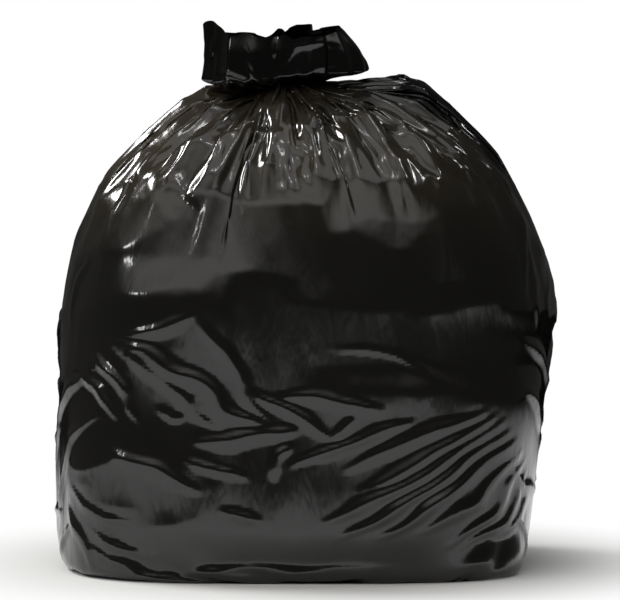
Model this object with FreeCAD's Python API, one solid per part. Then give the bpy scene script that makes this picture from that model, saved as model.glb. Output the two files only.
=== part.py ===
"""A filled refuse sack: thin film round soft contents, gathered at a neck, with the loose mouth as a crown on top.

Frame: origin at the middle of the footprint, +Z up, the side in the photograph faces -Y. Millimetres.
The sack is one closed piece of film, so it is one solid. Its skin starts at the footprint, runs up the
side, over the gathered shoulder and through the neck, out and up the crown to its rim, and down again
inside the crown. Crumpled film is flat between its creases, so the skin is made of flat facets, and the
ridge and the valley of each pleat are edges of the solid from end to end.
"""

import FreeCAD, Part
import math
import os
import random

NODE = "filled_sack"

# Driving dimensions: alias, value and what it measures. A reach is measured from the sack's axis.
SIZES = [
    ("foot_left", 226, "footprint, reach to left"),
    ("foot_right", 202, "footprint, reach to right"),
    ("foot_front", 172, "footprint, reach to front"),
    ("foot_back", 172, "footprint, reach to back"),
    ("foot_squareness", 4.4, "exponent of the footprint's outline, 2 for an ellipse"),
    ("heel_height", 12, "height at which the bottom edge has turned upright"),
    ("hip_height", 84, "height of the widest place on the left"),
    ("hip_left", 249, "hip, reach to left"),
    ("hip_right", 222, "hip, reach to right"),
    ("hip_front", 188, "hip, reach to front"),
    ("hip_back", 188, "hip, reach to back"),
    ("belly_height", 262, "height of the widest place on the right"),
    ("belly_left", 241, "belly, reach to left"),
    ("belly_right", 248, "belly, reach to right"),
    ("belly_front", 191, "belly, reach to front"),
    ("belly_back", 191, "belly, reach to back"),
    ("belly_squareness", 2.7, "exponent of the belly's outline"),
    ("shoulder_height", 370, "height at which the side turns into the shoulder"),
    ("shoulder_left", 210, "shoulder, reach to left"),
    ("shoulder_right", 214, "shoulder, reach to right"),
    ("shoulder_front", 175, "shoulder, reach to front"),
    ("shoulder_back", 177, "shoulder, reach to back"),
    ("slope_height", 446, "height of the middle of the sloping top"),
    ("slope_left", 131, "sloping top, reach to left"),
    ("slope_right", 147, "sloping top, reach to right"),
    ("slope_front", 106, "sloping top, reach to front"),
    ("slope_back", 120, "sloping top, reach to back"),
    ("brow_height", 467, "height at which the sloping top turns level beside the neck"),
    ("brow_left", 102, "brow, reach to left"),
    ("brow_right", 124, "brow, reach to right"),
    ("brow_front", 62, "brow, reach to front"),
    ("brow_back", 80, "brow, reach to back"),
    ("brow_squareness", 2.2, "exponent of the sloping top's outline"),
    ("saddle_right", 10, "how far the film behind the neck's right side stands above the brow"),
    ("saddle_left", 3, "the same to the neck's left"),
    ("neck_height", 474, "height of the neck"),
    ("neck_shift", -20, "neck's centre from the sack's axis"),
    ("neck_radius", 28, "bundle of gathered film at the neck"),
    ("neck_length", 6, "neck, shoulder to crown"),
    ("crown_height", 491, "height of the crown's widest place"),
    ("crown_left", 85, "crown, neck's centre to left"),
    ("crown_right", 84, "crown, neck's centre to right"),
    ("crown_front", 46, "crown, neck's centre to front"),
    ("crown_back", 52, "crown, neck's centre to back"),
    ("rim_height", 529, "height of the middle of the crown's rim"),
    ("rim_left", 80, "rim, neck's centre to left"),
    ("rim_right", 58, "rim, neck's centre to right"),
    ("rim_front", 45, "rim, neck's centre to front"),
    ("rim_back", 50, "rim, neck's centre to back"),
    ("rim_peak", 18, "how far the rim's left tip stands above its middle"),
    ("crown_wall", 5, "folded film of the crown, outside to inside"),
    ("crown_hollow", 38, "depth of the hollow in the crown"),
    ("gather_count", 26, "pleats round the neck"),
    ("gather_depth", 7, "pleats, half of ridge to valley"),
    ("gather_run", 120, "how far below the shoulder a pleat dies out"),
    ("tuck_depth", 17, "deepest tuck in the crown's film"),
    ("fold_width", 20, "pulled fold, ridge to foot"),
    ("fold_height", 8, "pulled fold, how far it stands out"),
    ("crumple", 1.6, "how far the film's facets stand off its smooth form"),
    ("row_pitch", 15, "spacing of the creases up the film"),
]

NECK_SQUARENESS = 2.0
# Tucks in the crown: turn and half width in degrees, with the share of the full depth between them
CROWN_TUCKS = (
    (-152, 0.25, 8),
    (-104, 0.3, 6),
    (-42, 0.35, 9),
    (14, 0.75, 8),
    (52, 0.95, 9),
    (92, 1.0, 9),
    (128, 0.95, 9),
    (158, 0.7, 7),
)
COLUMNS_PER_PLEAT = 4  # ridge, flank, valley, flank
NORMAL_STEP = 0.002
CRUMPLE_SEED = 4
FLAT = 1e-6
STATIONS = (
    "foot", "heel", "ankle", "hip", "waist", "belly", "chest", "shoulder", "over_shoulder", "slope",
    "brow", "under_neck", "neck", "neck_top", "crown_foot", "crown_low", "crown_high", "rim",
    "inner_rim", "inner_wall", "inner_slope", "inner_end",
)  # fmt: skip
AT = {name: index for index, name in enumerate(STATIONS)}


def make_sheet(doc):
    """The driving dimensions as cells, each with an alias."""
    sheet = doc.addObject("Spreadsheet::Sheet", "sizes")
    for row, (alias, value, words) in enumerate(SIZES, start=1):
        sheet.set(f"A{row}", words)
        sheet.set(f"B{row}", str(value))
        sheet.setAlias(f"B{row}", alias)
    doc.recompute()
    return sheet


class Sizes:
    """Reads each driving dimension from the sheet by its alias."""

    def __init__(self, sheet):
        for alias, _, _ in SIZES:
            setattr(self, alias, float(sheet.get(alias)))


def mixed(a, b, share):
    return a + (b - a) * share


def turned(x):
    """0 below 0, 1 above 1, and an even turn between."""
    x = min(1.0, max(0.0, x))
    return x * x * (3 - 2 * x)


def bump(angle, centre, width):
    """1 at the centre angle, falling to nothing a few widths away, all the way round."""
    off = math.remainder(angle - centre, 2 * math.pi)
    return math.exp(-((off / width) ** 2))


def make_stations(s):
    """Each station's height, shift, reach to left, right, front and back, and squareness."""

    def reach(name):
        return tuple(getattr(s, f"{name}_{side}") for side in ("left", "right", "front", "back"))

    foot, hip, belly = reach("foot"), reach("hip"), reach("belly")
    shoulder, slope, brow = reach("shoulder"), reach("slope"), reach("brow")
    crown, rim = reach("crown"), reach("rim")
    neck = (s.neck_radius,) * 4
    inside = tuple(side - s.crown_wall for side in rim)
    neck_top = s.neck_height + s.neck_length
    middling = mixed(s.foot_squareness, s.belly_squareness, 0.6)

    def station(height, shift, low, high, share, squareness):
        sides = tuple(mixed(a, b, share) for a, b in zip(low, high))
        return (height, shift) + sides + (squareness,)

    made = {
        "foot": station(0, 0, foot, hip, 0, s.foot_squareness),
        "heel": station(s.heel_height, 0, foot, hip, 0.4, s.foot_squareness),
        "ankle": station(mixed(s.heel_height, s.hip_height, 0.4), 0, foot, hip, 0.93, middling),
        "hip": station(s.hip_height, 0, foot, hip, 1, middling),
        "waist": station(mixed(s.hip_height, s.belly_height, 0.45), 0, hip, belly, 0.55, middling),
        "belly": station(s.belly_height, 0, belly, belly, 0, s.belly_squareness),
        "chest": station(
            mixed(s.belly_height, s.shoulder_height, 0.6), 0, belly, shoulder, 0.4, s.belly_squareness
        ),
        "shoulder": station(s.shoulder_height, 0, shoulder, slope, 0, s.belly_squareness),
        "over_shoulder": station(
            mixed(s.shoulder_height, s.slope_height, 0.56), 0, shoulder, slope, 0.44, s.belly_squareness
        ),
        "slope": station(s.slope_height, 0, slope, slope, 0, s.brow_squareness),
        "brow": station(s.brow_height, 0, brow, brow, 0, s.brow_squareness),
        "under_neck": station(s.neck_height, s.neck_shift, brow, neck, 0.7, NECK_SQUARENESS),
        "neck": station(s.neck_height, s.neck_shift, neck, neck, 0, NECK_SQUARENESS),
        "neck_top": station(neck_top, s.neck_shift, neck, crown, 0.25, NECK_SQUARENESS),
        "crown_foot": station(
            mixed(neck_top, s.crown_height, 0.3), s.neck_shift, neck, crown, 0.75, NECK_SQUARENESS
        ),
        "crown_low": station(s.crown_height, s.neck_shift, crown, crown, 0, NECK_SQUARENESS),
        "crown_high": station(
            mixed(s.crown_height, s.rim_height, 0.56), s.neck_shift, crown, rim, 0.35, NECK_SQUARENESS
        ),
        "rim": station(s.rim_height, s.neck_shift, rim, rim, 0, NECK_SQUARENESS),
        "inner_rim": station(s.rim_height, s.neck_shift, inside, inside, 0, NECK_SQUARENESS),
        "inner_wall": station(
            s.rim_height - 0.4 * s.crown_hollow, s.neck_shift, neck, inside, 0.8, NECK_SQUARENESS
        ),
        "inner_slope": station(
            s.rim_height - 0.85 * s.crown_hollow, s.neck_shift, neck, inside, 0.3, NECK_SQUARENESS
        ),
        "inner_end": station(
            s.rim_height - s.crown_hollow, s.neck_shift, neck, (0, 0, 0, 0), 0.5, NECK_SQUARENESS
        ),
    }
    return [made[name] for name in STATIONS]


class Film:
    """The sack's skin as a function of the angle round the axis and of t, which counts stations."""

    def __init__(self, sizes):
        self.sizes = sizes
        self.stations = make_stations(sizes)
        self.last = len(self.stations) - 1
        self.folds = pulled_folds(sizes)

    def section(self, t):
        """A station's numbers at any t, by a cubic that passes through the stations."""
        index = min(self.last - 1, int(t))
        x = t - index
        near = [self.stations[min(self.last, max(0, index + k))] for k in (-1, 0, 1, 2)]
        result = []
        for before, here, there, after in zip(*near):
            result.append(
                here * (1 + 2 * x) * (1 - x) ** 2
                + easy_slope(before, here, there) * x * (1 - x) ** 2
                + there * x * x * (3 - 2 * x)
                - easy_slope(here, there, after) * x * x * (1 - x)
            )
        return result

    def form(self, angle, t):
        """The smooth form, with no folds."""
        height, shift, left, right, front, back, squareness = self.section(t)
        across, along = math.cos(angle), math.sin(angle)
        half_x = right if across > 0 else left
        half_y = back if along > 0 else front
        radius = (abs(across / half_x) ** squareness + abs(along / half_y) ** squareness) ** (
            -1 / squareness
        )
        rise = self.saddle(angle, t) + self.rim_rise(angle, t)
        return FreeCAD.Vector(shift + radius * across, radius * along, height + rise)

    def saddle(self, angle, t):
        """Beside the neck the film stands above the brow: most behind it to the right, a little at the left."""
        near = turned((t - AT["over_shoulder"]) / 2) * turned((AT["neck"] - t) / 2)
        right = self.sizes.saddle_right * bump(angle, 0.45, 0.75)
        left = self.sizes.saddle_left * bump(angle, math.pi, 0.5)
        return near * (right + left)

    def rim_rise(self, angle, t):
        """The rim's line: a narrow tip at the left, a broad rise behind, and a dip between them."""
        grown = turned((t - AT["neck_top"]) / (AT["rim"] - AT["neck_top"]))
        faded = turned((self.last - t) / (self.last - AT["inner_rim"]))
        tip = bump(angle, -2.8, 0.22)
        behind = 0.5 * bump(angle, 1.25, 0.4)
        dip = 0.3 * bump(angle, 2.1, 0.3)
        ruffle = 0.1 * math.sin(5 * angle + 1.0)
        return self.sizes.rim_peak * grown * faded * (tip + behind - dip + ruffle)

    def normal(self, angle, t):
        low, high = max(0.0, t - NORMAL_STEP), min(self.last, t + NORMAL_STEP)
        across = self.form(angle + NORMAL_STEP, t) - self.form(angle - NORMAL_STEP, t)
        outward = across.cross(self.form(angle, high) - self.form(angle, low))
        outward.normalize()
        return outward

    def pleat_phase(self, angle):
        """Counts pleats round the neck, in radians: wide and narrow ones follow each other unevenly."""
        even = self.sizes.gather_count * angle
        return even + 1.6 * math.sin(2 * angle + 0.5) + 1.3 * math.sin(3 * angle + 2.1)

    def pleat_angle(self, phase):
        """The angle at which pleat_phase has this value, relative to its value at angle 0."""
        wanted = phase + self.pleat_phase(0)
        low, high = -1.0, 2 * math.pi + 1.0
        for _ in range(40):
            middle = (low + high) / 2
            if self.pleat_phase(middle) < wanted:
                low = middle
            else:
                high = middle
        return low

    def gather(self, angle, t):
        """Pleats that run out from the neck and die on the side, some far lower than others."""
        s = self.sizes
        if t > AT["neck_top"]:
            return 0.0
        height = self.section(t)[0]
        uneven = 0.5 + 0.5 * math.sin(4 * angle + 1.3) * math.sin(7 * angle + 0.4)
        end = s.shoulder_height - s.gather_run * (0.4 + 0.6 * uneven)
        grown = turned((height - end) / (s.slope_height - end))
        narrowed = mixed(1, 0.5, turned((t - AT["slope"]) / 2))
        wave = math.sin(self.pleat_phase(angle) - self.pleat_phase(0))
        return s.gather_depth * wave * grown * narrowed * (0.6 + 0.4 * uneven)

    def tuck(self, angle, t):
        """How far the crown is tucked in. Tucks deepen towards the rim, shallow in front and deep behind."""
        grown = turned((t - AT["neck"]) / 3)
        faded = turned((self.last - t) / 3)
        deepest = max(
            share * bump(angle, math.radians(turn), math.radians(width))
            for turn, share, width in CROWN_TUCKS
        )
        return self.sizes.tuck_depth * grown * faded * deepest

    def pulled(self, place, t):
        """The folds that the film's pull raises across the side. The back has them turned about."""
        if t > AT["shoulder"]:
            return 0.0
        s = self.sizes
        facing = 1 if place.y < 0 else -1
        total = 0.0
        for start_x, start_z, end_x, end_z, share in self.folds:
            start_x, end_x = facing * start_x, facing * end_x
            run_x, run_z = end_x - start_x, end_z - start_z
            length = math.hypot(run_x, run_z)
            along = ((place.x - start_x) * run_x + (place.z - start_z) * run_z) / length**2
            off = ((place.x - start_x) * run_z - (place.z - start_z) * run_x) / length / s.fold_width
            if 0 < along < 1 and abs(off) < 1:
                total = max(total, share * s.fold_height * (1 - abs(off)) * math.sin(math.pi * along))
        return total

    def point(self, angle, t, crumple):
        """The skin with its folds. Both end rows stay flat."""
        place = self.form(angle, t)
        if t <= 0 or t >= self.last:
            return place
        relief = self.gather(angle, t) + self.pulled(place, t)
        gathered = turned((t - AT["slope"]) / 2)
        away = min(1.0, t) * (1 - gathered) * self.sizes.crumple * crumple
        inward = FreeCAD.Vector(-math.cos(angle), -math.sin(angle), 0)
        moved = place + self.normal(angle, t) * (relief + away) + inward * self.tuck(angle, t)
        moved.z = max(moved.z, 0.5 * place.z)
        return moved


def easy_slope(before, here, after):
    """The slope at a station that keeps the cubic from overshooting its neighbours."""
    rise_before, rise_after = here - before, after - here
    if rise_before * rise_after <= 0:
        return 0.0
    return 2 * rise_before * rise_after / (rise_before + rise_after)


def pulled_folds(s):
    """Start and end of each pulled fold on the front, as x and z, and its share of the full height.

    A fan runs from the right side down to the foot, and a broken line of folds crosses from the left.
    """
    fan_x, fan_z = 0.88 * s.belly_right, 0.6 * s.belly_height
    fan = ((196, 0.95, 0.8), (208, 1.0, 1.0), (221, 0.85, 0.9), (236, 0.6, 0.9), (252, 0.5, 0.7))
    folds = []
    for turn, reach, share in fan:
        direction, length = math.radians(turn), reach * s.belly_right
        end_x, end_z = fan_x + length * math.cos(direction), fan_z + length * math.sin(direction)
        folds.append((fan_x, fan_z, end_x, end_z, share))
    line = ((-0.85, 0.93, 1.0), (-0.5, 0.76, 1.0), (-0.16, 0.6, 1.0), (0.12, 0.66, 0.8), (0.4, 0.72, 0.5))
    for (x0, z0, share), (x1, z1, _) in zip(line, line[1:]):
        folds.append((x0 * s.belly_left, z0 * s.belly_height, x1 * s.belly_left, z1 * s.belly_height, share))
    return folds


def crease_rows(film):
    """The values of t at which creases go round the sack, about a row pitch apart along the film."""
    rows = []
    for index in range(film.last):
        low, high = film.stations[index], film.stations[index + 1]
        rise = high[0] - low[0]
        span = max(math.hypot(rise, b - a) for a, b in zip(low[2:6], high[2:6]))
        count = max(1, round(span / film.sizes.row_pitch))
        rows += [index + step / count for step in range(count)]
    return rows + [float(film.last)]


def skin_points(film):
    """The skin's corners, row by row. Columns lie on the pleats' ridges, valleys and flanks."""
    columns = COLUMNS_PER_PLEAT * round(film.sizes.gather_count)
    angles = [film.pleat_angle(2 * math.pi * column / COLUMNS_PER_PLEAT) for column in range(columns)]
    chance = random.Random(CRUMPLE_SEED)
    return [[film.point(angle, t, chance.uniform(-1, 1)) for angle in angles] for t in crease_rows(film)]


def skin_facets(rows):
    """Two triangles for each four corners, creased along the shorter diagonal."""
    count = len(rows[0])
    facets = []
    for row in range(len(rows) - 1):
        for column in range(count):
            following = (column + 1) % count
            a, b = row * count + column, row * count + following
            c, d = b + count, a + count
            rising = rows[row + 1][following].distanceToPoint(rows[row][column])
            falling = rows[row + 1][column].distanceToPoint(rows[row][following])
            facets += [(a, b, c), (a, c, d)] if rising < falling else [(a, b, d), (b, c, d)]
    return facets


def closed_solid(rows):
    """The faceted skin, closed by one flat face on the floor and one at the end of the crown's hollow."""
    skin = Part.Shape()
    corners = [corner for row in rows for corner in row]
    skin.makeShapeFromMesh((corners, skin_facets(rows)), FLAT, True)
    ends = [Part.Face(Part.makePolygon(row + row[:1])) for row in (rows[0], rows[-1])]
    shell = Part.makeShell(skin.Faces + ends)
    shell.sewShape()
    solid = Part.Solid(shell)
    if solid.Volume < 0:
        solid.reverse()
    return solid


def build(doc):
    film = Film(Sizes(make_sheet(doc)))
    sack = doc.addObject("Part::Feature", NODE)
    sack.Label = NODE
    sack.Shape = closed_solid(skin_points(film))
    sack.Placement = FreeCAD.Placement()
    doc.recompute()
    return [sack]


def write(parts):
    os.makedirs("parts", exist_ok=True)
    for part in parts:
        if "Invalid" in part.State or "Error" in part.State:
            raise RuntimeError(f"{part.Label} failed")
        if part.Shape.isNull() or not part.Shape.isValid():
            raise RuntimeError(f"{part.Label} has no valid shape")
        part.Shape.exportStep(f"parts/{part.Label}.step")
        litres = round(part.Shape.Volume / 1e6, 1)
        print(part.Label, len(part.Shape.Faces), "faces,", litres, "litres,", part.Shape.BoundBox)


write(build(FreeCAD.newDocument("sack")))
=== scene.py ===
"""A filled black refuse sack: thin polythene film, relaxed over soft contents and gathered at a neck.

The film is one grid of columns round the sack and rows from the floor to the rim of the loose mouth.
Its cut size is the flat sack's, so where the sack narrows the film lies in pleats. The contents are
read from the sack's solid. Metres throughout, apart from the lists of ribs, bumps, waves, folds and
swells and the double film's line, which are in millimetres. +X is right and -Y is the front.
"""

import math

import bpy
import numpy as np
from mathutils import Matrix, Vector
from mathutils.bvhtree import BVHTree


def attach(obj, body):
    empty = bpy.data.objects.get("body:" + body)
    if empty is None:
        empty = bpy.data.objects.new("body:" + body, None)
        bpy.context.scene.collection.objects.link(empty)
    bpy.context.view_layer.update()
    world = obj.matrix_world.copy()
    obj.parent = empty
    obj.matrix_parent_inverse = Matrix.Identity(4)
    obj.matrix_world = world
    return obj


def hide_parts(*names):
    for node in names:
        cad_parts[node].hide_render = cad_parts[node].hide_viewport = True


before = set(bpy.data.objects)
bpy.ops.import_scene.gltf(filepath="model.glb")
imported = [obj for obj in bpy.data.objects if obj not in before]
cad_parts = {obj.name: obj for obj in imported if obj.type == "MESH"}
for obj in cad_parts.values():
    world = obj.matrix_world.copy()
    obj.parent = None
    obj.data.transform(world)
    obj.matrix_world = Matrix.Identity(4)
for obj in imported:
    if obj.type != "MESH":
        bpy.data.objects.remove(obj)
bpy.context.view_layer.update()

NODE = "filled_sack"

# The film, laid flat
GIRTH = 1.474  # twice the lay-flat width
PLEATS = 26

# The neck
NECK_SHIFT = -0.020
NECK_HEIGHT = 0.474
NECK_OUT, NECK_IN = 0.027, 0.004  # reach of the pleats' ridges and valleys
NECK_ROWS = 1 / 12  # share of the body's rows over which its pleats close to the neck's

# The grid: rows of the body, rows of the crown, columns
COARSE = (88, 20, 192)
FINE = (184, 40, 416)
COARSE_STEPS = 1100
FINE_STEPS = 900
BASE_RINGS = 5

# The film's start
START_SWING = 0.72  # share of the pleats' worked-out swing
START_CHANCE = 0.0003  # how far chance moves its points
PLAIN_SHARE = 0.6  # share of its spare girth that the front goes without
PLAIN_FACING = (0, 0.5)  # how far forward the film has to face for that
PLAIN_TOP = (0.425, 0.455)  # heights over which it gets the spare girth back

# The film's rest lengths, as shares of the plain form's
SNUG_FOOT = (0.12, 0.28)  # heights over which snug film becomes as wide as it was cut
ACROSS_SNUG = 1.004
UP_BODY = 1.006
IN_CROWN = 1.01
LEAST_ACROSS = 0.2  # of an even column
SETTLED = 0.012  # spare length up the side, where the contents have settled
SETTLED_FROM, SETTLED_TO = (0.03, 0.09), (0.32, 0.40)

# The contents, measured inwards from the plain form
CONTENTS_INSET = 0.0025
NECK_INSET = 0.006
NECK_INSET_ROWS = 1 / 5
GATHERS_FELT = 0.6  # share of the solid's own gathers
GATHERS_FROM = (0.32, 0.42)
# Lumps: seed, waves round and up, height, and the level at which their tops are cut flat
LUMPS = ((3, 14, 12, 0.0028, 0.4), (4, 6, 5, 0.0025, 0.5))
# Straight creases: seed, facets round and up, skew and height
CREASES = ((31, 17, 8, 0.0, 0.0032), (32, 39, 15, 0.3, 0.0014))
CREASES_AT_FOOT = 0.4  # share of their height at the foot
CREASES_WHOLE = (0.10, 0.18)  # heights over which they become whole

# The relaxation
TIME_STEP = 1 / 400
PULL_DOWN = 0.5  # downward acceleration; the film is light and its folds carry it
DAMPING = 0.97
GRIP = 0.6  # share of its speed that film keeps where it lies on the contents
STIFFNESS = 0.003  # against bending
CROWN_HOLD = 0.02  # share of the way back to its start that the crown goes at each step
TOUCHING = 0.0003
FLOOR = 0.0004

# The pull on the narrowest pleats afterwards, below these heights
EASING, EASINGS = 0.25, 6
EASED_BELOW = (0.30, 0.38)

# The crown's reach from the neck's axis and its height, in millimetres, at eight turns from +X round
# by +Y: under the crown, at its widest, above that, and at its rim
CROWN_RIBS = (
    ((50, 487), (85, 495), (78, 513), (56, 536)),
    ((45, 485), (74, 499), (77, 518), (70, 533)),
    ((30, 484), (50, 500), (53, 518), (50, 533)),
    ((38, 483), (62, 497), (64, 514), (63, 528)),
    ((55, 479), (83, 488), (80, 514), (82, 533)),
    ((50, 479), (76, 488), (76, 512), (73, 532)),
    ((28, 482), (47, 491), (47, 512), (46, 530)),
    ((36, 483), (66, 494), (67, 514), (64, 531)),
)
# The crown's own folds: turn in degrees, depth as a share of the reach, and half width in degrees
CROWN_FOLDS = (
    (-152, 0.10, 7),
    (-104, 0.12, 5),
    (-42, 0.13, 8),
    (14, 0.35, 7),
    (52, 0.42, 8),
    (92, 0.45, 8),
    (128, 0.42, 8),
    (158, 0.30, 6),
)
# Rises and dips of the rim: turn in degrees, rise in millimetres and width in radians
RIM_BUMPS = ((-160, 10, 0.2), (72, 3, 0.25), (117, -5, 0.22))
# Waves round the rim: count, height in millimetres and phase in radians
RIM_WAVES = ((11, 1.5, 0.7), (19, 1.0, 0.0))
# The neck and the ribs' four levels, as shares of the crown's length from the neck to its rim
CROWN_KNOTS = np.array([0, 0.27, 0.5, 0.75, 1.0])
CROWN_FOOT = 0.003  # above the neck
# Shares of that length by which the neck's pleats end and the crown's ruffles, folds and fan are whole
PLEATS_END, RUFFLED, FOLDED, FANNED = 0.45, 0.3, 0.6, 0.5
RUFFLE = 0.006
SMOOTHED_FRONT = (-95, 1.1, 0.75)  # turn in degrees, width in radians, and share that the ruffles lose

# Folds that the film's pull draws across the front, in millimetres. Each has its places from the front,
# as x and z, its height, and its widths above and below. The back has them too, closer together across
# and further apart upwards
DRAWN_FOLDS = (
    (((173, 174), (109, 150), (38, 121)), 2.4, 9, 8),
    (((182, 167), (121, 135), (52, 97)), 3.0, 9, 8),
    (((194, 162), (118, 117), (13, 68)), 3.0, 9, 8),
    (((201, 152), (121, 100), (27, 55)), 3.0, 8, 7),
    (((209, 145), (141, 91), (66, 51)), 3.0, 8, 7),
    (((216, 135), (169, 85), (108, 57)), 2.8, 7, 6),
    (((221, 125), (183, 72), (135, 42)), 2.8, 7, 6),
    (((224, 113), (198, 64), (153, 39)), 2.8, 7, 6),
    (((224, 101), (210, 63), (181, 46)), 2.8, 7, 6),
    (((-198, 231), (-161, 225), (-114, 205), (-80, 180), (-33, 157)), 4.0, 10, 16),
    (((-198, 230), (-152, 209), (-105, 174), (-79, 158)), 2.6, 6, 9),
    (((-114, 205), (-112, 184), (-111, 167)), 2.6, 7, 7),
    (((-114, 205), (-91, 179), (-79, 158)), 2.4, 7, 7),
    (((-181, 236), (-144, 252), (-111, 269)), 2.6, 10, 12),
    (((-111, 269), (-78, 232), (-54, 190), (-30, 157)), 2.6, 10, 12),
    (((-226, 213), (-206, 193), (-189, 161)), 4.2, 6, 5),
    (((-210, 224), (-192, 200), (-173, 176)), 4.0, 6, 5),
    (((-190, 200), (-179, 182), (-170, 157)), 2.6, 4, 4),
    (((-146, 196), (-128, 203), (-112, 190), (-98, 170)), 2.4, 5, 5),
    (((-150, 178), (-132, 166), (-120, 171)), 2.2, 5, 5),
    (((-114, 143), (-65, 152), (-30, 155), (-1, 162)), 2.8, 8, 10),
    (((-58, 202), (-36, 190), (3, 171), (31, 150)), 2.8, 8, 9),
    (((-29, 194), (13, 191), (53, 182), (85, 171)), 2.4, 6, 7),
    (((42, 188), (64, 180), (82, 176)), 2.2, 5, 6),
    (((-33, 112), (-29, 135), (-15, 142)), 3.0, 6, 8),
    (((-15, 123), (24, 139), (63, 152), (109, 163)), 2.6, 7, 8),
    (((28, 152), (46, 164), (56, 172)), 2.6, 5, 6),
    (((-200, 138), (-152, 121), (-124, 105), (-103, 95)), 2.8, 10, 12),
    (((-124, 132), (-89, 121), (-57, 111)), 2.0, 6, 8),
    (((-88, 81), (-64, 75), (-43, 68)), 2.0, 6, 8),
    (((-234, 98), (-219, 82), (-196, 71), (-168, 66)), 2.0, 4, 6),
    (((-238, 78), (-226, 54), (-214, 33), (-205, 12)), 2.4, 5, 7),
    (((-218, 62), (-198, 46), (-170, 38), (-141, 35)), 2.0, 4, 5),
    (((-214, 40), (-190, 27), (-168, 20)), 1.8, 4, 5),
    (((-196, 4), (-120, 16), (-60, 22), (30, 25), (118, 18)), 1.6, 6, 8),
    (((132, 207), (98, 226), (62, 236), (24, 241)), 0.9, 5, 5),
    (((147, 199), (122, 216), (87, 227)), 1.4, 6, 7),
    (((27, 454), (47, 457), (73, 451), (97, 441), (124, 427), (144, 406), (168, 394), (198, 387)), 4.0, 6, 9),
    (((35, 441), (63, 442), (86, 431), (102, 420)), 2.4, 5, 7),
    (((-14, 452), (-5, 438), (13, 426), (16, 409)), 3.0, 5, 5),
    (((-14, 452), (-18, 439), (-6, 424), (13, 409)), 3.0, 5, 5),
    (((-59, 432), (-41, 435), (-26, 428), (-17, 432)), 2.6, 5, 6),
    (((15, 438), (35, 434), (42, 417), (51, 390)), 2.8, 5, 5),
    (((-18, 415), (-10, 390), (-5, 371)), 2.4, 5, 5),
    (((0, 401), (6, 384), (14, 374)), 2.2, 5, 5),
    (((-132, 389), (-115, 375), (-106, 395), (-94, 417)), 3.0, 6, 6),
    (((-212, 361), (-186, 386), (-157, 406), (-133, 422)), 3.4, 7, 8),
    (((-167, 388), (-139, 407), (-116, 430), (-85, 448)), 3.2, 6, 7),
    (((-172, 419), (-137, 446), (-102, 456), (-67, 460)), 3.6, 6, 8),
    (((-148, 376), (-131, 390), (-109, 366)), 2.6, 5, 6),
    (((95, 402), (99, 376), (102, 350)), 2.2, 5, 5),
    (((121, 395), (133, 389), (140, 376)), 2.0, 5, 5),
    (((104, 469), (149, 443), (180, 419), (203, 389), (212, 366)), 3.6, 7, 7),
    (((212, 355), (222, 326), (223, 283)), 3.0, 6, 6),
    (((227, 331), (233, 283), (233, 243)), 2.6, 5, 5),
)

# Folds of the right side, in the same way, as y and z. The left side has them turned about
SIDE_FOLDS = (
    (((-120, 236), (-70, 214), (-20, 190), (40, 176)), 3.4, 9, 14),
    (((-130, 196), (-84, 170), (-40, 138)), 2.6, 7, 9),
    (((60, 262), (20, 236), (-16, 204), (-44, 168)), 3.0, 9, 12),
    (((140, 214), (96, 190), (52, 150), (20, 104)), 3.2, 8, 10),
    (((150, 168), (112, 140), (78, 100), (60, 60)), 2.8, 7, 9),
    (((-150, 120), (-100, 96), (-50, 84), (0, 82)), 2.4, 7, 9),
    (((-120, 70), (-84, 46), (-56, 22)), 2.4, 5, 7),
    (((120, 60), (80, 36), (50, 16)), 2.2, 5, 7),
    (((-16, 120), (24, 138), (70, 148)), 2.4, 7, 8),
    (((-30, 300), (-60, 262), (-72, 226)), 2.4, 7, 8),
    (((96, 318), (80, 280), (84, 246)), 2.4, 7, 8),
    (((0, 60), (44, 70), (84, 66)), 2.0, 5, 7),
)

# Creases in the crown's front, in the same way as the front's folds
CROWN_CREASES = (
    (((-42, 476), (-62, 487), (-80, 494), (-92, 505)), 2.5, 4, 5),
    (((-40, 478), (-52, 492), (-58, 506)), 2.0, 4, 4),
    (((-40, 480), (-74, 480), (-100, 484)), 2.0, 4, 4),
    (((-22, 500), (-10, 520), (20, 526), (44, 522)), 1.0, 5, 5),
    (((-32, 508), (-30, 532)), 2.0, 4, 4),
    (((-94, 505), (-90, 530)), 2.0, 4, 4),
    (((-14, 482), (10, 498), (40, 506)), 0.6, 5, 5),
)

# How far a normal has to lean before the folds that face that way are whole
FACING = (0, 0.3)
SIDE_FACING = (0.4, 0.7)

# How a drawn fold tapers: the share of its length at each end, its width there, and its height's power
TAPER, END_WIDTH, END_POWER = 0.3, 0.35, 0.7
WANDER = 2.5  # how far a drawn fold strays, in millimetres
BACK_ACROSS, BACK_UP = 1.15, 0.9  # the scale at which the back reads the front's folds

# Broad swells of the front, in millimetres: x and z of the brow, half width, rise above it, drop below
# it and depth
SWELL_EDGE = 1.6  # steepness of their ends; at 1 the depth would be whole only in the middle
SWELLS = (
    (-140, 272, 95, 50, 110, 7.0),
    (95, 190, 110, 30, 80, 4.0),
    (20, 62, 210, 120, 40, 5.0),
    (200, 180, 55, 30, 90, 6.0),
    (172, 4, 72, 56, 4, 8.0),
)

# The fine crumple on the shoulder: height, facets round and up, and skew
CRUMPLE = (0.001, 97, 41, 0.4)
CRUMPLE_FROM = (0.33, 0.41)  # heights over which it comes on
CRUMPLE_IN_FRONT = 0.2  # share of it on the front

# The crown's crumple: height, facets round and up, and the share that its front loses
CROWN_CRUMPLE = (0.0012, 37, 9)
CROWN_CALM = 0.95
CALM_FACING = (0, 0.5)

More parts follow.
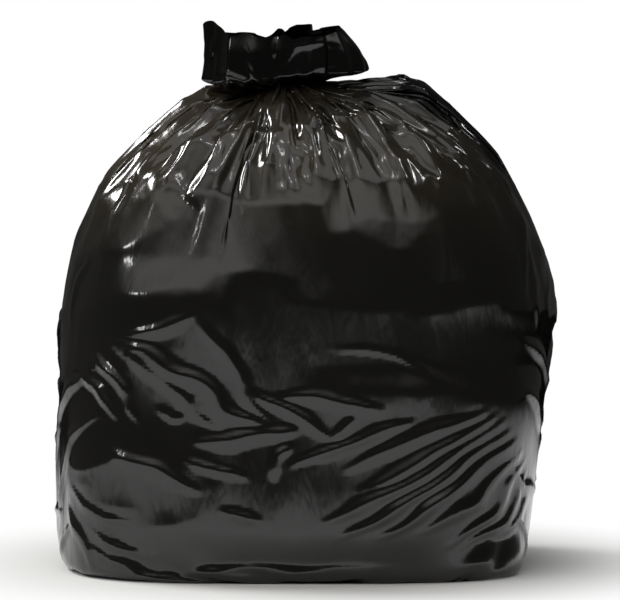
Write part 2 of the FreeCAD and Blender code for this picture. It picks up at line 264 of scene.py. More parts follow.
# The film counts as double on the right shoulder, above this line of x and z, and at the neck
DOUBLE_LINE = ((30, 600), (60, 466), (98, 462), (140, 444), (172, 420), (196, 390), (207, 366), (212, 600))
DOUBLE_EDGE = 0.004
GATHERED_ROWS = 1 / 15  # share of the body's rows that are gathered film

# The film's colours: over the contents, single over the shoulder (brown, partly painted light), and gathered
DARK = (0.008, 0.0078, 0.0066, 1)
# Painted light in part: besides the single film's own tint, this brown makes the shoulder, which faces up,
# lighter than the sides
BROWN_AND_PAINTED_LIGHT = (0.040, 0.032, 0.021, 1)
BLACK = (0.001, 0.001, 0.0009, 1)
# Heights over which the brown, and with it the painted light on the top, comes on
BROWN_FROM = (0.30, 0.44)
BROWN_LEAST = 0.25  # share of the brown in its palest patches
ROUGHNESS, REFRACTION = 0.15, 1.6
PATCH_SCALE, PATCH_RANGE = 9.0, (0.35, 0.65)
STREAKS = (1.0, 1.0, 0.22)  # draws the fine crumple out up the film
STREAK_SCALE, STREAK_STRENGTH = 55.0, 0.7
LOOSE_WAVE, FIRM_WAVE = 0.0015, 0.0002  # its height on single and on gathered film
SHOULDER_FIRM = 0.6  # how far single film on the shoulder is like gathered film in this

# The floor: its radius, where it turns white and where its mirrored light fades, and its colours
FLOOR_RADIUS = 2.3
WHITE_FROM, WHITE_TO = 0.19, 0.46
FADE_CENTRE = (0, -0.45, 0)
FADE_FROM, FADE_TO = 1.0, 1.65
FLOOR_PALE = (0.84, 0.84, 0.82, 1)
FLOOR_DARK = (0.1, 0.1, 0.1, 1)

# The room that the film reflects, and its glow: direction, reach that way, heights from the room's
# middle, and strength, which adds to the walls' own dim light
ROOM_RADIUS, ROOM_HEIGHT, ROOM_MIDDLE = 3.6, 5.0, 1.7
GLOW_TOWARD = (-0.35, -0.94, 0)
GLOW_REACH = (0.6, 3.2)
GLOW_HEIGHTS = (-0.7, 1.3)
GLOW, DIM = 1.0, 0.05
ROOM_COLOUR = (1.0, 0.98, 0.94, 1)

# The lamps: name, place, width, depth and radiance, where 1 is white. They face the sack's middle
LAMPS = (
    ("overhead_panel", (0, -0.2, 2.9), 2.6, 1.6, 0.8),
    ("left_lamp", (-1.8, 0.9, 2.0), 1.2, 0.5, 34),
    ("low_lamp", (-2.4, -1.2, 1.3), 0.25, 0.35, 22),
    ("top_lamp", (-0.2, -0.4, 2.7), 0.35, 0.12, 18),
    ("right_lamp", (1.3, 0.2, 2.3), 0.22, 0.12, 35),
)
LIT = Vector((0, 0, 0.3))

# The camera
VIEW_DISTANCE = 9.0
VIEW_ELEVATION = math.radians(5)
VIEW_WIDTH = 0.62  # width of the picture at the sack
AIM = Vector((0.0045, 0.0, 0.2640))


def turned(x):
    """0 below 0, 1 above 1, and an even turn between."""
    x = np.clip(x, 0.0, 1.0)
    return x * x * (3 - 2 * x)


def between(value, low, high):
    """0 below low, 1 above high, and an even turn between."""
    return turned((value - low) / (high - low))


def at_top(rows, share):
    """0 up to the last share of the rows, then an even turn to 1 in the last row."""
    return turned(1 - (1 - np.linspace(0, 1, rows)) / share)


def bump(angle, centre, width):
    """1 at the centre angle, falling to nothing a few widths away, all the way round."""
    off = (angle - centre + np.pi) % (2 * np.pi) - np.pi
    return np.exp(-((off / width) ** 2))


def edges(grid):
    """Lengths from each point to the next one round the sack."""
    return np.linalg.norm(np.roll(grid, -1, 1) - grid, axis=2)


def normals(grid):
    """Outward normals of a grid that closes round the sack."""
    across = np.roll(grid, -1, 1) - np.roll(grid, 1, 1)
    along = np.gradient(grid, axis=0)
    found = np.cross(across, along)
    return found / np.linalg.norm(found, axis=-1, keepdims=True)


def resampled(grid, rows, columns):
    """The same grid with other numbers of rows and columns."""
    old_rows, old_columns = grid.shape[:2]
    place = np.linspace(0, old_rows - 1, rows)
    low = np.minimum(place.astype(int), old_rows - 2)
    share = (place - low)[:, None, None]
    grid = grid[low] * (1 - share) + grid[low + 1] * share
    place = np.arange(columns) * old_columns / columns
    low = place.astype(int)
    share = (place - low)[None, :, None]
    return grid[:, low] * (1 - share) + grid[:, (low + 1) % old_columns] * share


def rolling(seed, round_count, up_count, rows, columns):
    """Smooth chance relief with no seam: about so many waves round the sack and up it."""
    tall, wide, used = 256, 512, 0.9  # the field repeats upwards, so its last tenth isn't used
    field = np.random.default_rng(seed).standard_normal((tall, wide))
    spectrum = np.fft.fft2(field)
    waves_round = np.fft.fftfreq(wide) * wide
    waves_up = np.fft.fftfreq(tall) * tall
    spectrum *= np.exp(-((waves_round[None] / round_count) ** 2) - (waves_up[:, None] / up_count) ** 2)
    field = np.real(np.fft.ifft2(spectrum))
    field = field[: int(used * tall), :, None] / field.std()
    return resampled(field, rows, columns)[..., 0]


def facets(seed, round_count, up_count, rows, columns, skew=0.0):
    """Chance relief of flat triangles between straight creases, from -1 to 1, with no seam."""
    waver = 0.2
    heights = np.random.default_rng(seed).uniform(-1, 1, (up_count + 3, round_count))
    up, across = np.meshgrid(np.linspace(1, up_count, rows), np.arange(columns) / columns, indexing="ij")
    across = across * round_count + waver * rolling(seed + 100, 9, 6, rows, columns) + skew * up
    up = np.clip(up + waver * rolling(seed + 200, 9, 6, rows, columns), 0, up_count + 1.99)
    row, column = np.floor(up).astype(int), np.floor(across).astype(int)
    rise, run = up - row, across - column
    left, right = column % round_count, (column + 1) % round_count
    a, b = heights[row, left], heights[row, right]
    c, d = heights[row + 1, left], heights[row + 1, right]
    falling = np.where(run > rise, a + (b - a) * run + (d - b) * rise, a + (d - c) * run + (c - a) * rise)
    rising = np.where(
        run + rise < 1,
        a + (b - a) * run + (c - a) * rise,
        d + (c - d) * (1 - run) + (b - d) * (1 - rise),
    )
    return np.where((row * 7 + left * 13) % 3 == 0, rising, falling)


class Form:
    """The sack's form with and without its gathers, read from its solid by a fan of rays."""

    RINGS, RAYS, WAVES_KEPT = 160, 384, 9
    UPRIGHT_SHARE = 0.55
    LAST_TILT = math.radians(77)
    FAN_FOOT, FAN_MIDDLE, FAN_TOP = 0.003, 0.28, 0.34

    def __init__(self, solid):
        tree = BVHTree.FromPolygons(
            [vertex.co for vertex in solid.data.vertices], [face.vertices for face in solid.data.polygons]
        )
        share = np.linspace(0, 1, self.RINGS)
        fan = np.clip((share - self.UPRIGHT_SHARE) / (1 - self.UPRIGHT_SHARE), 0, 1)
        lean = turned(fan)
        rise = np.clip(share / self.UPRIGHT_SHARE, 0, 1)
        self.tilt = self.LAST_TILT * fan
        upright = self.FAN_FOOT + (self.FAN_MIDDLE - self.FAN_FOOT) * rise
        height = upright + (self.FAN_TOP - self.FAN_MIDDLE) * lean
        self.origin = np.stack([NECK_SHIFT * lean, 0 * lean, height], -1)
        self.reach = np.zeros((self.RINGS, self.RAYS))
        for ring in range(self.RINGS):
            for ray in range(self.RAYS):
                direction = self.direction(ring, 2 * math.pi * ray / self.RAYS)
                self.reach[ring, ray] = tree.ray_cast(Vector(self.origin[ring]), Vector(direction))[3]
        spectrum = np.fft.rfft(self.reach, axis=1)
        spectrum *= np.exp(-((np.arange(spectrum.shape[1]) / self.WAVES_KEPT) ** 4))
        self.plain_reach = np.fft.irfft(spectrum, self.RAYS, axis=1)

    def direction(self, ring, turn):
        level, up = np.cos(self.tilt[ring]), np.sin(self.tilt[ring])
        return np.stack([np.cos(turn) * level, np.sin(turn) * level, up + 0 * turn], -1)

    def rings(self, reach, turns):
        """Points of every ring at these turns."""
        place = (turns / (2 * np.pi) * self.RAYS) % self.RAYS
        low = np.floor(place).astype(int) % self.RAYS
        share = place - np.floor(place)
        reach = reach[:, low] * (1 - share) + reach[:, (low + 1) % self.RAYS] * share
        aim = np.stack([self.direction(ring, turns) for ring in range(self.RINGS)])
        return self.origin[:, None] + aim * reach[..., None]

    def even_turns(self, columns):
        """Turns that share the sack's girth evenly, from +X round by +Y."""
        fine = np.linspace(0, 2 * np.pi, 2048, endpoint=False)
        belly = self.rings(self.plain_reach, fine)[int(0.4 * self.RINGS)][None]
        passed = np.concatenate([[0], np.cumsum(edges(belly)[0])])
        return np.interp(np.arange(columns) / columns * passed[-1], passed, np.append(fine, 2 * np.pi))

    def meridians(self, reach, turns, rows):
        """Evenly spaced points from the floor to the neck at each turn."""
        rings = self.rings(reach, turns)
        steps = np.linalg.norm(np.diff(rings, axis=0), axis=2)
        passed = np.concatenate([np.zeros((1, len(turns))), np.cumsum(steps, axis=0)])
        points = np.zeros((rows, len(turns), 3))
        for column in range(len(turns)):
            wanted = np.linspace(0, passed[-1, column], rows)
            for axis in range(3):
                points[:, column, axis] = np.interp(wanted, passed[:, column], rings[:, column, axis])
        return points


def crown_profile(turns):
    """Reach and height at the crown's four levels for each turn, by a smooth wave through the ribs."""
    spectrum = np.fft.rfft(np.array(CROWN_RIBS) / 1000, axis=0)
    ribs = len(CROWN_RIBS)
    profile = np.zeros((len(turns), 4, 2))
    for wave, term in enumerate(spectrum):
        weight = (1 if wave in (0, ribs // 2) else 2) / ribs
        swing = np.exp(1j * wave * turns)[:, None, None]
        profile += weight * np.real(term[None] * swing)
    rim = profile[:, 3, 1]
    for turn, rise, width in RIM_BUMPS:
        rim += rise / 1000 * bump(turns, math.radians(turn), width)
    for count, rise, phase in RIM_WAVES:
        rim += rise / 1000 * np.sin(count * turns + phase)
    return profile


def crown_folding(turns):
    """How far the crown's folds draw in at each turn, as a share of the reach."""
    depth = np.zeros_like(turns)
    for turn, share, width in CROWN_FOLDS:
        depth = np.maximum(depth, share * bump(turns, math.radians(turn), math.radians(width)))
    return depth


def crown_turns(columns):
    """The turn of each column at the rim, where the columns share the folded rim evenly."""
    fine = np.linspace(0, 2 * np.pi, 4096, endpoint=False)
    profile = crown_profile(fine)[:, 3]
    reach = profile[:, 0] * (1 - crown_folding(fine))
    rim = np.stack([reach * np.cos(fine), reach * np.sin(fine), profile[:, 1]], -1)[None]
    passed = np.concatenate([[0], np.cumsum(edges(rim)[0])])
    return np.interp(np.arange(columns) / columns * passed[-1], passed, np.append(fine, 2 * np.pi))


def through(knots, values, places):
    """A curve through values at the knots, with no overshoot, read at the places."""
    gaps = np.diff(knots)[:, None]
    slopes = np.diff(values, axis=0) / gaps
    level = slopes[:-1] * slopes[1:] <= 0
    total = np.where(level, 1, slopes[:-1] + slopes[1:])
    inner = np.where(level, 0, 2 * slopes[:-1] * slopes[1:] / total)
    slope = np.concatenate([slopes[:1], inner, slopes[-1:]])
    index = np.clip(np.searchsorted(knots, places) - 1, 0, len(knots) - 2)
    x = ((places - knots[index]) / gaps[index, 0])[:, None]
    return (
        (1 + 2 * x) * (1 - x) ** 2 * values[index]
        + x * (1 - x) ** 2 * gaps[index] * slope[index]
        + x * x * (3 - 2 * x) * values[index + 1]
        - x * x * (1 - x) * gaps[index] * slope[index + 1]
    )


def pleat_phase(turns):
    """Counts pleats round the neck, in radians, as in the solid: each has its ridge at a whole turn."""
    uneven = 1.6 * (np.sin(2 * turns + 0.5) - math.sin(0.5))
    uneven += 1.3 * (np.sin(3 * turns + 2.1) - math.sin(2.1))
    return PLEATS * turns + uneven - np.pi / 2


def pleat_swing(form):
    """Half the depth of a pleat in each row, so that the row holds the film's whole girth."""
    lengths = edges(form).sum(1)
    wanted = np.clip(GIRTH / lengths, 1.0, 3.0)
    waves = np.cos(np.linspace(0, 2 * np.pi, 64, endpoint=False))
    low, high = np.zeros_like(wanted), np.full_like(wanted, 3.0)
    for _ in range(30):
        middle = (low + high) / 2
        short = np.sqrt(1 + (2 * np.pi * middle[:, None] * waves) ** 2).mean(1) < wanted
        low, high = np.where(short, middle, low), np.where(short, high, middle)
    return low * lengths / PLEATS


class Film:
    """The film before it relaxes, its rest lengths, and the contents that it lies on."""

    def __init__(self, plain, body_rows, crown_rows, columns):
        self.body_rows, self.crown_rows, self.columns = body_rows, crown_rows, columns
        self.turns = plain.even_turns(columns)
        self.form = plain.meridians(plain.plain_reach, self.turns, body_rows)
        self.normals = normals(self.form)
        self.height = self.form[..., 2]
        solid = plain.meridians(plain.reach, self.turns, body_rows)
        self.gathers = ((solid - self.form) * self.normals).sum(-1)
        self.phase = pleat_phase(self.turns)
        facing = between(-self.normals[..., 1], *PLAIN_FACING)
        self.plain = PLAIN_SHARE * facing * (1 - between(self.height, *PLAIN_TOP))
        self.neck = self.neck_ring()
        self.start = np.concatenate([self.gathered_body(), self.crown()])
        self.lay_contents()
        self.measure()

    def neck_ring(self):
        """The pleated ring at which the neck is held."""
        middle, swing = (NECK_OUT + NECK_IN) / 2, (NECK_OUT - NECK_IN) / 2
        reach = middle + swing * np.cos(self.phase)
        across, along = np.cos(self.turns), np.sin(self.turns)
        return np.stack([NECK_SHIFT + reach * across, reach * along, NECK_HEIGHT + 0 * across], -1)

    def gathered_body(self):
        """The plain form with pleats that stand out from it and close to the neck's."""
        swing = pleat_swing(self.form)[:, None] * (1 - self.plain)
        body = self.form + self.normals * (START_SWING * swing * (1 + np.cos(self.phase)))[..., None]
        closing = at_top(self.body_rows, NECK_ROWS)[:, None, None]
        return body * (1 - closing) + self.neck * closing

    def crown(self):
        """From the neck out over the shoulder, up the crown's wall and to its rim."""
        rim_turns = crown_turns(self.columns)
        rim_turns = self.turns + (rim_turns - self.turns + np.pi) % (2 * np.pi) - np.pi
        profile = crown_profile(rim_turns)
        share = np.linspace(0, 1, self.crown_rows + 1)[1:]
        inner = np.full((1, self.columns), NECK_OUT)
        reach = through(CROWN_KNOTS, np.concatenate([inner, profile[:, :, 0].T]), share)
        foot = np.full((1, self.columns), NECK_HEIGHT + CROWN_FOOT)
        height = through(CROWN_KNOTS, np.concatenate([foot, profile[:, :, 1].T]), share)
        front, width, lost = SMOOTHED_FRONT
        ruffle = RUFFLE * (1 - lost * bump(rim_turns, math.radians(front), width)[None])
        level = share[:, None]
        pleat = (NECK_OUT - NECK_IN) * (1 - turned(level / PLEATS_END)) + ruffle * turned(level / RUFFLED)
        reach = reach * (1 - crown_folding(rim_turns)[None] * turned(level / FOLDED))
        reach = reach - pleat * (0.5 - 0.5 * np.cos(self.phase))[None]
        turn = self.turns[None] + (rim_turns - self.turns)[None] * turned(level / FANNED)
        return np.stack([NECK_SHIFT + reach * np.cos(turn), reach * np.sin(turn), height], -1)

    def relief(self, seed, round_count, up_count, skew=0.0):
        return facets(seed, round_count, up_count, self.body_rows, self.columns, skew)

    def rolling(self, seed, round_count, up_count):
        return rolling(seed, round_count, up_count, self.body_rows, self.columns)

    def lay_contents(self):
        """Lumps with flat tops and straight creases, a little inside the plain form."""
        lumps, creases = 0, 0
        for seed, around, up, height, top in LUMPS:
            lumps = lumps + height * np.minimum(self.rolling(seed, around, up), top)
        for seed, around, up, skew, height in CREASES:
            creases = creases + height * self.relief(seed, around, up, skew)
        creases *= CREASES_AT_FOOT + (1 - CREASES_AT_FOOT) * between(self.height, *CREASES_WHOLE)
        inset = CONTENTS_INSET + NECK_INSET * at_top(self.body_rows, NECK_INSET_ROWS)[:, None]
        gathers = GATHERS_FELT * self.gathers * between(self.height, *GATHERS_FROM)
        self.contents = self.form + self.normals * (lumps + creases + gathers - inset)[..., None]
        self.contents_normals = normals(self.contents)
        self.start[: self.body_rows] += self.normals * creases[..., None]

    def measure(self):
        """Rest lengths: the cut film's, but snug at the foot and over the front, and folded in the crown."""
        rows, body_rows = self.body_rows + self.crown_rows, self.body_rows
        even = GIRTH / self.columns
        loose = between(self.height, *SNUG_FOOT) * (1 - self.plain)
        self.across = np.full((rows, self.columns), even)
        self.across[:body_rows] = even * loose + ACROSS_SNUG * edges(self.form) * (1 - loose)
        folded = IN_CROWN * edges(self.start[body_rows:])
        self.across[body_rows:] = np.clip(folded, LEAST_ACROSS * even, even)
        plain = np.concatenate([self.form, self.start[body_rows:]])
        up = np.diff(plain, axis=0)
        self.along = UP_BODY * np.linalg.norm(up, axis=2)
        in_crown = np.diff(self.start[body_rows - 1 :], axis=0)
        self.along[body_rows - 1 :] = IN_CROWN * np.linalg.norm(in_crown, axis=2)
        side = np.roll(plain, -1, 1)[:-1] - plain[:-1]
        lengths = np.linalg.norm(side, axis=2) * np.linalg.norm(up, axis=2)
        lean = (side * up).sum(-1) / np.maximum(lengths, 1e-9)
        self.along[: body_rows - 1] *= self.spare_length()[:-1]
        across, along = self.across[:-1], self.along
        self.rising = np.sqrt(across**2 + along**2 + 2 * across * along * lean)
        self.falling = np.sqrt(across**2 + along**2 - 2 * across * along * lean)

    def spare_length(self):
        """The film's patchy spare length up the side, where the contents have settled."""
        side = between(self.height, *SETTLED_FROM) * (1 - between(self.height, *SETTLED_TO))
        patchy = np.clip(0.5 + 0.5 * self.rolling(21, 5, 4), 0, 1.5)
        return 1 + SETTLED * side * patchy


class Sheet:
    """The film while it relaxes: positions as (3, rows, columns), and edges that hold their lengths."""

    def __init__(self, film, start):
        self.film = film
        self.points = self.packed(start)
        self.speed = np.zeros_like(self.points)
        self.pairs = []
        self.pair_up()

    @staticmethod
    def packed(grid):
        return np.ascontiguousarray(np.moveaxis(grid, -1, 0)).astype(np.float32)

    def add(self, first, second, rest):
        self.pairs.append((first, second, np.ascontiguousarray(rest).astype(np.float32)))

    def pair_up(self):
        """Edges in groups that share no point, so that each group moves at once."""
        p, film = self.points, self.film
        self.add(p[:, :, 0::2], p[:, :, 1::2], film.across[:, 0::2])
        self.add(p[:, :, 1:-1:2], p[:, :, 2::2], film.across[:, 1:-1:2])
        self.add(p[:, :, -1], p[:, :, 0], film.across[:, -1])
        self.add(p[:, 0:-1:2], p[:, 1::2], film.along[0::2])
        self.add(p[:, 1:-1:2], p[:, 2::2], film.along[1::2])
        for row in (0, 1):
            low, high = p[:, row:-1:2], p[:, row + 1 :: 2]
            rising, falling = film.rising[row::2], film.falling[row::2]
            self.add(low[..., :-1], high[..., 1:], rising[:, :-1])
            self.add(low[..., -1], high[..., 0], rising[:, -1])
            self.add(high[..., :-1], low[..., 1:], falling[:, :-1])
            self.add(high[..., -1], low[..., 0], falling[:, -1])

    def hold_lengths(self):
        for first, second, rest in self.pairs:
            gap = second - first
            length = np.sqrt(gap[0] * gap[0] + gap[1] * gap[1] + gap[2] * gap[2])
            gap *= 0.5 - 0.5 * rest / np.maximum(length, 1e-6)
            first += gap
            second -= gap

    def resist_bending(self):
        p = self.points
        bend = np.zeros_like(p)
        bend[:, 1:-1] = p[:, 2:] + p[:, :-2] - 2 * p[:, 1:-1]
        change = np.zeros_like(p)
        change[:, 2:-2] = bend[:, 3:-1] + bend[:, 1:-3] - 2 * bend[:, 2:-2]
        bend = np.roll(p, 1, 2) + np.roll(p, -1, 2) - 2 * p
        change += np.roll(bend, 1, 2) + np.roll(bend, -1, 2) - 2 * bend
        p -= STIFFNESS * change

    def relax(self, steps):
        film, p = self.film, self.points
        rows = film.body_rows
        contents, outward = self.packed(film.contents), self.packed(film.contents_normals)
        start = self.packed(film.start)
        foot = start[:, 0].copy()
        foot[2] = FLOOR
        tied = slice(rows - 3, rows + 1)
        body = p[:, :rows]
        for step in range(steps):
            before = p.copy()
            self.speed[2, :rows] -= PULL_DOWN * TIME_STEP
            p += self.speed * TIME_STEP
            self.hold_lengths()
            if step % 2 == 0:
                self.resist_bending()
            gap = ((body - contents) * outward).sum(0)
            body -= outward * np.minimum(gap, 0)
            p[:, tied] = start[:, tied]
            p[:, 0] = foot
            p[:, rows + 1 :] += (start[:, rows + 1 :] - p[:, rows + 1 :]) * CROWN_HOLD
            p[2] = np.maximum(p[2], FLOOR)
            self.speed = (p - before) * (DAMPING / TIME_STEP)
            self.speed[:, :rows] *= np.where(gap < TOUCHING, GRIP, 1.0)
        return np.moveaxis(p, 0, -1).astype(float)


def finer(grid, coarse, fine):
    """The relaxed coarse film, carried over to the fine grid."""
    body = resampled(grid[: coarse[0]], fine[0], fine[2])
    crown = resampled(grid[coarse[0] - 1 :], fine[1] + 1, fine[2])[1:]
    return np.concatenate([body, crown])


def fold_line(places, across, height):
    """For each point, the nearest place along a fold's line, from 0 to 1, and its distance above it."""
    places = np.array(places, dtype=float)
    runs = np.diff(places, axis=0)
    lengths = np.hypot(runs[:, 0], runs[:, 1])
    passed = np.concatenate([[0], np.cumsum(lengths)])
    nearest = np.full(across.shape, 1e6)
    along, above = np.zeros(across.shape), np.zeros(across.shape)
    for (x, z), (run_x, run_z), length, before in zip(places, runs, lengths, passed):
        on = np.clip(((across - x) * run_x + (height - z) * run_z) / length**2, 0, 1)
        off_x, off_z = across - x - on * run_x, height - z - on * run_z
        off = np.hypot(off_x, off_z)
        closer = off < nearest
        nearest = np.where(closer, off, nearest)
        along = np.where(closer, (before + on * length) / passed[-1], along)
        side = np.sign(off_z * run_x - off_x * run_z) * (1 if run_x >= 0 else -1)
        above = np.where(closer, off * side, above)
    return along, above


def swells(film):
    """Broad slack places that lean forward over the film below them."""
    across, height = film.form[..., 0] * 1000, film.height * 1000
    total = np.zeros(height.shape)
    for x, z, reach, rise, drop, depth in SWELLS:
        near = turned(SWELL_EDGE * (1 - np.abs(across - x) / reach))
        over = np.where(height > z, 1 - (height - z) / rise, 1 - (z - height) / drop)
        total += depth * near * turned(over)
    return total / 1000 * between(-film.normals[..., 1], *FACING)


def drawn_folds(folds, across, height):
    """How far the drawn folds stand out from the film. Each tapers to its ends."""
    total = np.zeros(across.shape)
    for places, fold_height, above, below in folds:
        along, off = fold_line(places, across, height)
        taper = np.clip(np.minimum(along, 1 - along) / TAPER, 0, 1)
        width = np.where(off > 0, above, below) * (END_WIDTH + (1 - END_WIDTH) * taper)
        ridge = fold_height * taper**END_POWER * np.clip(1 - np.abs(off) / width, 0, 1)
        total = np.maximum(total, ridge)
    return total / 1000


def body_relief(film):
    """Drawn folds and swells, and a fine crumple on the shoulder that comes and goes."""
    rightward, backward = film.normals[..., 0], film.normals[..., 1]
    behind = backward > 0
    across = film.form[..., 0] * 1000 * np.where(behind, BACK_ACROSS, 1) + WANDER * film.rolling(51, 16, 14)
    height = film.height * 1000 * np.where(behind, BACK_UP, 1) + WANDER * film.rolling(52, 16, 14)
    along = film.form[..., 1] * 1000 * np.sign(rightward) + WANDER * film.rolling(57, 16, 14)
    ends = between(np.abs(backward), *FACING) * drawn_folds(DRAWN_FOLDS, across, height)
    sides = between(np.abs(rightward), *SIDE_FACING) * drawn_folds(SIDE_FOLDS, along, height)
    fine, around, up, skew = CRUMPLE
    crumpled = fine * turned(0.5 + 0.5 * film.rolling(53, 5, 4)) * between(film.height, *CRUMPLE_FROM)
    crumpled *= CRUMPLE_IN_FRONT + (1 - CRUMPLE_IN_FRONT) * between(backward, *FACING)
    return np.maximum(ends, sides) + swells(film) + crumpled * film.relief(54, around, up, skew)


def eased(body):
    """The body with the film's narrowest pleats pulled out below the shoulder."""
    share = EASING * (1 - between(body[..., 2:], *EASED_BELOW))
    for _ in range(EASINGS):
        body = body + share * (np.roll(body, -1, 1) + np.roll(body, 1, 1) - 2 * body)
    return body


def crown_relief(crown):
    """Creases in the crown's front, and a crumple over the rest of it."""
    outward = normals(crown)
    forward = -outward[..., 1]
    across, height = crown[..., 0] * 1000, crown[..., 2] * 1000
    folds = between(forward, *FACING) * drawn_folds(CROWN_CREASES, across, height)
    fine, around, up = CROWN_CRUMPLE
    calm = CROWN_CALM * between(forward, *CALM_FACING)
    crumple = fine * (1 - calm) * facets(61, around, up, *crown.shape[:2])
    grown = turned(np.linspace(0, 4, len(crown)))[:, None]  # whole from a quarter of the way up
    return outward * ((folds + crumple) * grown)[..., None]


def relaxed_film():
    """The film at rest: first on a coarse grid, then on the fine one."""
    plain = Form(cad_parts[NODE])
    coarse, fine = Film(plain, *COARSE), Film(plain, *FINE)
    chance = np.random.default_rng(7)
    start = coarse.start + START_CHANCE * chance.standard_normal(coarse.start.shape)
    grid = finer(Sheet(coarse, start).relax(COARSE_STEPS), COARSE, FINE)
    grid = Sheet(fine, grid).relax(FINE_STEPS)
    body, crown = grid[: fine.body_rows], grid[fine.body_rows :]
    body[:] = eased(body) + fine.normals * body_relief(fine)[..., None]
    crown += crown_relief(crown)
    grid[..., 2] = np.maximum(grid[..., 2], FLOOR)
    return grid


def film_layers(grid):
    """1 where the film is gathered or lies double, and 0 where it is single."""
    layers = np.ones(grid.shape[:2])
    layers[: FINE[0]] = at_top(FINE[0], GATHERED_ROWS)[:, None]
    line = np.interp(grid[..., 0], *np.transpose(DOUBLE_LINE) / 1000)
    return np.maximum(layers, turned((grid[..., 2] - line) / DOUBLE_EDGE))


def film_object(name, grid):
    """The film as a mesh, with the underside closed by rings and a point."""
    layers = np.concatenate([np.zeros((BASE_RINGS, FINE[2])), film_layers(grid)]).ravel()
    foot = grid[0]
    middle = np.append(foot[:, :2].mean(0), FLOOR)
    rings = [middle + (foot - middle) * share for share in np.arange(1, BASE_RINGS + 1) / (BASE_RINGS + 1)]
    grid = np.concatenate([np.stack(rings), grid])
    rows, columns = grid.shape[:2]
    index = np.arange(rows * columns).reshape(rows, columns)
    following = np.roll(index, -1, 1)
    quads = np.stack([index[:-1], following[:-1], following[1:], index[1:]], -1).reshape(-1, 4)
    centre = rows * columns
    fan = np.stack([following[0], index[0], np.full(columns, centre)], -1)
    mesh = bpy.data.meshes.new(name)
    corners = np.concatenate([grid.reshape(-1, 3), middle[None]])
    mesh.from_pydata(corners.tolist(), [], quads.tolist() + fan.tolist())
    mesh.polygons.foreach_set("use_smooth", np.ones(len(mesh.polygons), dtype=bool))
    mesh.attributes.new("layers", "FLOAT", "POINT").data.foreach_set("value", np.append(layers, 0.0))
    mesh.update()
    piece = bpy.data.objects.new(name, mesh)
    bpy.context.collection.objects.link(piece)
    return piece


class Shading:
    """A material's nodes. What its methods return are the outputs of new nodes."""

    def __init__(self, name):
        self.material = bpy.data.materials.new(name)
        self.material.use_nodes = True
        self.tree = self.material.node_tree
        self.tree.nodes.clear()
        self.place = self.node("TexCoord").outputs["Object"]

    def height(self):
        return self.node("SeparateXYZ", Vector=self.place).outputs["Z"]

    def node(self, kind, **values):
        """A new node whose named inputs are numbers, colours or other nodes' outputs."""
        node = self.tree.nodes.new("ShaderNode" + kind)
        for name, value in values.items():
            self.feed(node.inputs[name.replace("_", " ")], value)
        return node

    def feed(self, slot, value):
        if isinstance(value, bpy.types.NodeSocket):
            self.tree.links.new(value, slot)
        else:
            slot.default_value = value

    def maths(self, operation, *values):
        node = self.node("Math")
        node.operation = operation
        for slot, value in zip(node.inputs, values):
            self.feed(slot, value)
        return node.outputs[0]

    def vector(self, operation, *values):
        node = self.node("VectorMath")
        node.operation = operation
        for slot, value in zip(node.inputs, values):
            self.feed(slot, value)
        return node.outputs["Value"]

    def between(self, value, low, high):
        """0 below low, 1 above high, and an even turn between."""
        node = self.node("MapRange", Value=value, From_Min=low, From_Max=high)
        node.interpolation_type = "SMOOTHSTEP"
        return node.outputs[0]

    def ramp(self, value, first, last, low=0.0, high=1.0):
        """From the first number to the last, as the value goes from low to high."""
        node = self.node("MapRange", Value=value, From_Min=low, From_Max=high, To_Min=first, To_Max=last)
        return node.outputs[0]

    def blend(self, share, first, second):
        """A colour between two others."""
        node = self.node("Mix")
        node.data_type = "RGBA"
        for name, value in (("Factor", share), ("A", first), ("B", second)):
            self.feed(node.inputs[name], value)
        return node.outputs["Result"]

    def finish(self, shader):
        self.node("OutputMaterial", Surface=shader.outputs[0])
        return self.material


def film_material():
    """Dark film, brown where it lies single over the shoulder, partly its tint and partly painted light on
    the top, and black where gathered.
    """
    shading = Shading("black_film")
    shoulder = shading.between(shading.height(), *BROWN_FROM)
    patches = shading.node("TexNoise", Vector=shading.place, Scale=PATCH_SCALE, Detail=3.0).outputs["Fac"]
    # The shoulder's brown: partly the single film's tint, partly painted light that makes the top lighter
    brown = shading.maths("MULTIPLY", shoulder, shading.ramp(patches, BROWN_LEAST, 1.0, *PATCH_RANGE))
    layers = shading.node("Attribute")
    layers.attribute_name = "layers"
    layers = layers.outputs["Fac"]
    colour = shading.blend(layers, shading.blend(brown, DARK, BROWN_AND_PAINTED_LIGHT), BLACK)

    # Fine crumple, drawn out up the film
    streaked = shading.node("Mapping", Vector=shading.place, Scale=STREAKS).outputs[0]
    noise = shading.node("TexNoise", Vector=streaked, Scale=STREAK_SCALE, Detail=3.0, Distortion=0.3)
    firm = shading.maths("MULTIPLY_ADD", shoulder, SHOULDER_FIRM, layers)
    wave = shading.ramp(firm, LOOSE_WAVE, FIRM_WAVE)
    bump_node = shading.node("Bump", Strength=STREAK_STRENGTH, Distance=wave, Height=noise.outputs["Fac"])
    shader = shading.node("BsdfPrincipled", Base_Color=colour, Roughness=ROUGHNESS, IOR=REFRACTION)
    shading.feed(shader.inputs["Normal"], bump_node.outputs[0])
    return shading.finish(shader)


def make_camera():
    data = bpy.data.cameras.new("camera")
    camera = bpy.data.objects.new("camera", data)
    bpy.context.collection.objects.link(camera)
    back = Vector((0, -math.cos(VIEW_ELEVATION), math.sin(VIEW_ELEVATION)))
    camera.location = AIM + back * VIEW_DISTANCE
    camera.rotation_euler = back.to_track_quat("Z", "Y").to_euler()
    data.lens = data.sensor_width * VIEW_DISTANCE / VIEW_WIDTH
    bpy.context.scene.camera = camera
    bpy.context.scene.view_settings.view_transform = "Standard"


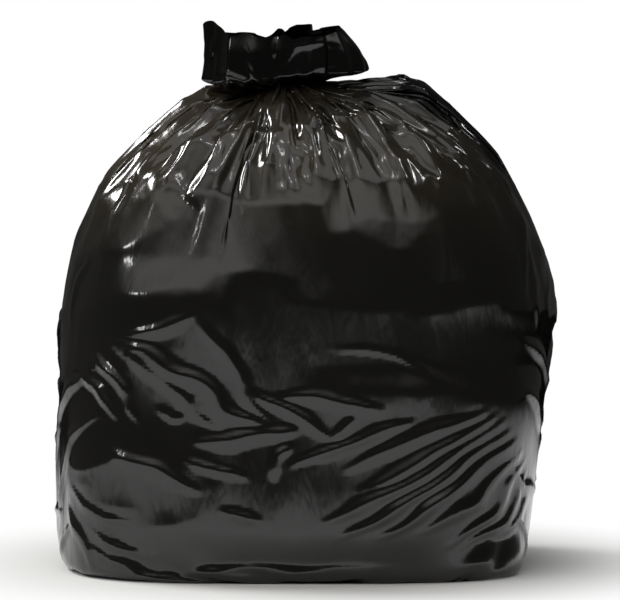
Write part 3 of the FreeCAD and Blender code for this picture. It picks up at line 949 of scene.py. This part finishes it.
def make_floor():
    """A pale disc with the sack's shadow, which runs out to white where the camera or the film sees it.

    What the film mirrors of it fades further out.
    """
    bpy.ops.mesh.primitive_circle_add(vertices=96, radius=FLOOR_RADIUS, fill_type="NGON")
    floor = bpy.context.object
    floor.name = "floor"
    shading = Shading("floor")
    ray = shading.node("LightPath").outputs
    indirect = shading.maths("MAXIMUM", ray["Is Glossy Ray"], ray["Is Transmission Ray"])
    seen = shading.maths("MAXIMUM", ray["Is Camera Ray"], indirect)
    whiter = shading.between(shading.vector("LENGTH", shading.place), WHITE_FROM, WHITE_TO)
    darker = shading.between(shading.vector("DISTANCE", shading.place, FADE_CENTRE), FADE_FROM, FADE_TO)
    glow = shading.maths("SUBTRACT", 1.0, shading.maths("MULTIPLY", darker, ray["Is Glossy Ray"]))
    paint = shading.node("BsdfDiffuse", Color=shading.blend(darker, FLOOR_PALE, FLOOR_DARK))
    white = shading.node("Emission", Strength=glow)
    whitened = shading.maths("MULTIPLY", whiter, seen)
    mix = shading.node("MixShader")
    for slot, value in zip(mix.inputs, (whitened, paint.outputs[0], white.outputs[0])):
        shading.feed(slot, value)
    floor.data.materials.append(shading.finish(mix))


def make_room():
    """Dim walls and ceiling for the film to reflect, with a soft glow high up in front and to the left.

    The camera sees the white world past them.
    """
    bpy.ops.mesh.primitive_cylinder_add(
        vertices=64, radius=ROOM_RADIUS, depth=ROOM_HEIGHT, location=(0, 0, ROOM_MIDDLE)
    )
    room = bpy.context.object
    room.name = "room"
    room.visible_camera = False
    shading = Shading("room")
    ahead = shading.between(shading.vector("DOT_PRODUCT", shading.place, GLOW_TOWARD), *GLOW_REACH)
    glowing = shading.maths("MULTIPLY", ahead, shading.between(shading.height(), *GLOW_HEIGHTS))
    strength = shading.maths("MULTIPLY_ADD", glowing, GLOW, DIM)
    walls = shading.node("Emission", Color=ROOM_COLOUR, Strength=strength)
    room.data.materials.append(shading.finish(walls))
    world = bpy.data.worlds.new("world")
    bpy.context.scene.world = world
    world.use_nodes = True
    world.node_tree.nodes["Background"].inputs["Color"].default_value = (1, 1, 1, 1)


def make_lamp(name, place, width, depth, radiance):
    """An oval panel that faces the sack and looks this bright, where 1 is white."""
    data = bpy.data.lights.new(name, "AREA")
    data.shape = "ELLIPSE"
    data.size, data.size_y = width, depth
    data.energy = radiance * math.pi**2 / 4 * width * depth
    lamp = bpy.data.objects.new(name, data)
    bpy.context.collection.objects.link(lamp)
    lamp.location = place
    lamp.rotation_euler = (Vector(place) - LIT).to_track_quat("Z", "Y").to_euler()


make_camera()
make_floor()
make_room()
for lamp in LAMPS:
    make_lamp(*lamp)

sack = film_object("sack_film", relaxed_film())
sack.data.materials.append(film_material())
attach(sack, "root")
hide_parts(NODE)
